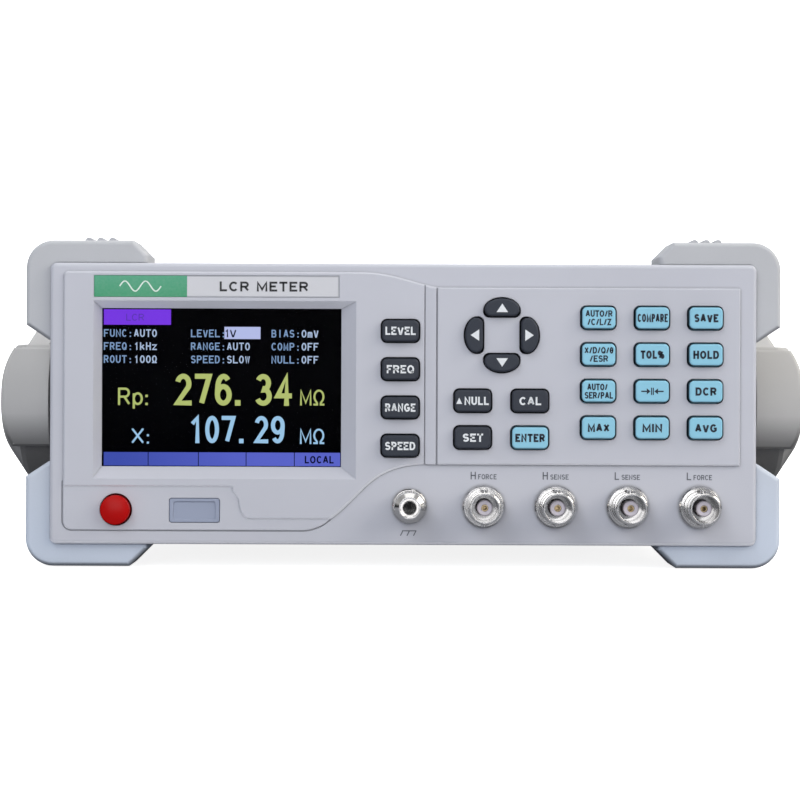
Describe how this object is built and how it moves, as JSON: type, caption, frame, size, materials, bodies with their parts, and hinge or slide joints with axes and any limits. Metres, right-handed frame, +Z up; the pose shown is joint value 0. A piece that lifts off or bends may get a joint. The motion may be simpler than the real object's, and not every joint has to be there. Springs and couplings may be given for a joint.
{
  "type": "lcr meter",
  "caption": "Bench LCR meter in a half-rack case with colour display, keypad, four coaxial measuring jacks, corner bumpers and a swinging carry handle.",
  "frame": {"origin": "on the bench plane under the middle of the overall width and depth", "axes": "+Z up, -Y out of the front panel, +X to the operator's right"},
  "size_m": [0.2644, 0.355, 0.1033],
  "materials": {
    "bezel_plastic": "fine matt texture, pale grey",
    "bumper_rubber": "smooth matt elastomer, grey",
    "case_paint": "light grey powder coat",
    "handle_plastic": "pale grey moulded plastic",
    "handle_grip_soft": "mid grey soft grip",
    "key_dark": "charcoal key",
    "key_blue": "light blue key",
    "power_red": "red button",
    "label_film": "printed overlay, green block at its left end",
    "window_clear": "clear window",
    "lcd": "display panel",
    "port_blue": "grey-blue blanking cover",
    "nickel": "nickel plated brass",
    "ptfe": "white insulator",
    "gold": "gold plated contact",
    "steel": "zinc plated steel",
    "silicone": "translucent silicone mat",
    "pcb": "green circuit board",
    "ribbon": "grey flat cable",
    "black_plastic": "black moulding",
    "panel_paint": "light grey paint",
    "iron": "varnished laminations and windings"
  },
  "bodies": {
    "instrument": {"board_fixings": "steel", "case_screws": "steel", "case_sleeve": "case_paint", "chassis_tray": "steel", "display_module": "lcd", "display_window": "window_clear", "front_bezel": "bezel_plastic", "front_bumper": "bumper_rubber", "fuse_drawer": "black_plastic", "ground_post": "nickel", "jack_contacts": "gold", "jack_h_force": "nickel", "jack_h_sense": "nickel", "jack_insulators": "ptfe", "jack_l_force": "nickel", "jack_l_sense": "nickel", "keypad_board": "pcb", "keypad_mat": "silicone", "keypad_ribbon": "ribbon", "label_strip": "label_film", "main_board": "pcb", "mains_inlet": "black_plastic", "pivot_bosses": "handle_plastic", "port_cover": "port_blue", "power_switch": "black_plastic", "rear_bumper": "bumper_rubber", "rear_panel": "panel_paint", "serial_port": "steel", "terminal_nuts": "steel", "transformer": "iron", "usb_port": "steel"},
    "handle": {"handle_arm_left": "handle_plastic", "handle_arm_right": "handle_plastic", "handle_grip": "handle_grip_soft", "hub_caps": "handle_plastic"},
    "power_button": {"power_button": "power_red"},
    "key_level": {"key_level": "key_dark"},
    "key_freq": {"key_freq": "key_dark"},
    "key_range": {"key_range": "key_dark"},
    "key_speed": {"key_speed": "key_dark"},
    "key_up": {"key_up": "key_dark"},
    "key_left": {"key_left": "key_dark"},
    "key_down": {"key_down": "key_dark"},
    "key_right": {"key_right": "key_dark"},
    "key_null": {"key_null": "key_dark"},
    "key_cal": {"key_cal": "key_dark"},
    "key_set": {"key_set": "key_dark"},
    "key_enter": {"key_enter": "key_blue"},
    "key_primary": {"key_primary": "key_blue"},
    "key_compare": {"key_compare": "key_blue"},
    "key_save": {"key_save": "key_blue"},
    "key_secondary": {"key_secondary": "key_blue"},
    "key_tolerance": {"key_tolerance": "key_blue"},
    "key_hold": {"key_hold": "key_blue"},
    "key_circuit": {"key_circuit": "key_blue"},
    "key_sorting": {"key_sorting": "key_blue"},
    "key_dcr": {"key_dcr": "key_blue"},
    "key_max": {"key_max": "key_blue"},
    "key_min": {"key_min": "key_blue"},
    "key_average": {"key_average": "key_blue"}
  },
  "joints": [
    {"name": "handle_swing", "type": "hinge", "parent": "instrument", "child": "handle", "pos_m": [0, -0.11, 0.05], "axis": [1, 0, 0], "range_deg": [0, 318]},
    {"name": "power_press", "type": "slide", "parent": "instrument", "child": "power_button", "axis": [0, 1, 0], "range_m": [0, 0.003], "stiffness_N_per_m": 800},
    {"name": "level_press", "type": "slide", "parent": "instrument", "child": "key_level", "axis": [0, 1, 0], "range_m": [0, 0.0012], "stiffness_N_per_m": 900},
    {"name": "freq_press", "type": "slide", "parent": "instrument", "child": "key_freq", "axis": [0, 1, 0], "range_m": [0, 0.0012], "stiffness_N_per_m": 900},
    {"name": "range_press", "type": "slide", "parent": "instrument", "child": "key_range", "axis": [0, 1, 0], "range_m": [0, 0.0012], "stiffness_N_per_m": 900},
    {"name": "speed_press", "type": "slide", "parent": "instrument", "child": "key_speed", "axis": [0, 1, 0], "range_m": [0, 0.0012], "stiffness_N_per_m": 900},
    {"name": "up_press", "type": "slide", "parent": "instrument", "child": "key_up", "axis": [0, 1, 0], "range_m": [0, 0.0012], "stiffness_N_per_m": 900},
    {"name": "left_press", "type": "slide", "parent": "instrument", "child": "key_left", "axis": [0, 1, 0], "range_m": [0, 0.0012], "stiffness_N_per_m": 900},
    {"name": "down_press", "type": "slide", "parent": "instrument", "child": "key_down", "axis": [0, 1, 0], "range_m": [0, 0.0012], "stiffness_N_per_m": 900},
    {"name": "right_press", "type": "slide", "parent": "instrument", "child": "key_right", "axis": [0, 1, 0], "range_m": [0, 0.0012], "stiffness_N_per_m": 900},
    {"name": "null_press", "type": "slide", "parent": "instrument", "child": "key_null", "axis": [0, 1, 0], "range_m": [0, 0.0012], "stiffness_N_per_m": 900},
    {"name": "cal_press", "type": "slide", "parent": "instrument", "child": "key_cal", "axis": [0, 1, 0], "range_m": [0, 0.0012], "stiffness_N_per_m": 900},
    {"name": "set_press", "type": "slide", "parent": "instrument", "child": "key_set", "axis": [0, 1, 0], "range_m": [0, 0.0012], "stiffness_N_per_m": 900},
    {"name": "enter_press", "type": "slide", "parent": "instrument", "child": "key_enter", "axis": [0, 1, 0], "range_m": [0, 0.0012], "stiffness_N_per_m": 900},
    {"name": "primary_press", "type": "slide", "parent": "instrument", "child": "key_primary", "axis": [0, 1, 0], "range_m": [0, 0.0012], "stiffness_N_per_m": 900},
    {"name": "compare_press", "type": "slide", "parent": "instrument", "child": "key_compare", "axis": [0, 1, 0], "range_m": [0, 0.0012], "stiffness_N_per_m": 900},
    {"name": "save_press", "type": "slide", "parent": "instrument", "child": "key_save", "axis": [0, 1, 0], "range_m": [0, 0.0012], "stiffness_N_per_m": 900},
    {"name": "secondary_press", "type": "slide", "parent": "instrument", "child": "key_secondary", "axis": [0, 1, 0], "range_m": [0, 0.0012], "stiffness_N_per_m": 900},
    {"name": "tolerance_press", "type": "slide", "parent": "instrument", "child": "key_tolerance", "axis": [0, 1, 0], "range_m": [0, 0.0012], "stiffness_N_per_m": 900},
    {"name": "hold_press", "type": "slide", "parent": "instrument", "child": "key_hold", "axis": [0, 1, 0], "range_m": [0, 0.0012], "stiffness_N_per_m": 900},
    {"name": "circuit_press", "type": "slide", "parent": "instrument", "child": "key_circuit", "axis": [0, 1, 0], "range_m": [0, 0.0012], "stiffness_N_per_m": 900},
    {"name": "sorting_press", "type": "slide", "parent": "instrument", "child": "key_sorting", "axis": [0, 1, 0], "range_m": [0, 0.0012], "stiffness_N_per_m": 900},
    {"name": "dcr_press", "type": "slide", "parent": "instrument", "child": "key_dcr", "axis": [0, 1, 0], "range_m": [0, 0.0012], "stiffness_N_per_m": 900},
    {"name": "max_press", "type": "slide", "parent": "instrument", "child": "key_max", "axis": [0, 1, 0], "range_m": [0, 0.0012], "stiffness_N_per_m": 900},
    {"name": "min_press", "type": "slide", "parent": "instrument", "child": "key_min", "axis": [0, 1, 0], "range_m": [0, 0.0012], "stiffness_N_per_m": 900},
    {"name": "average_press", "type": "slide", "parent": "instrument", "child": "key_average", "axis": [0, 1, 0], "range_m": [0, 0.0012], "stiffness_N_per_m": 900}
  ]
}
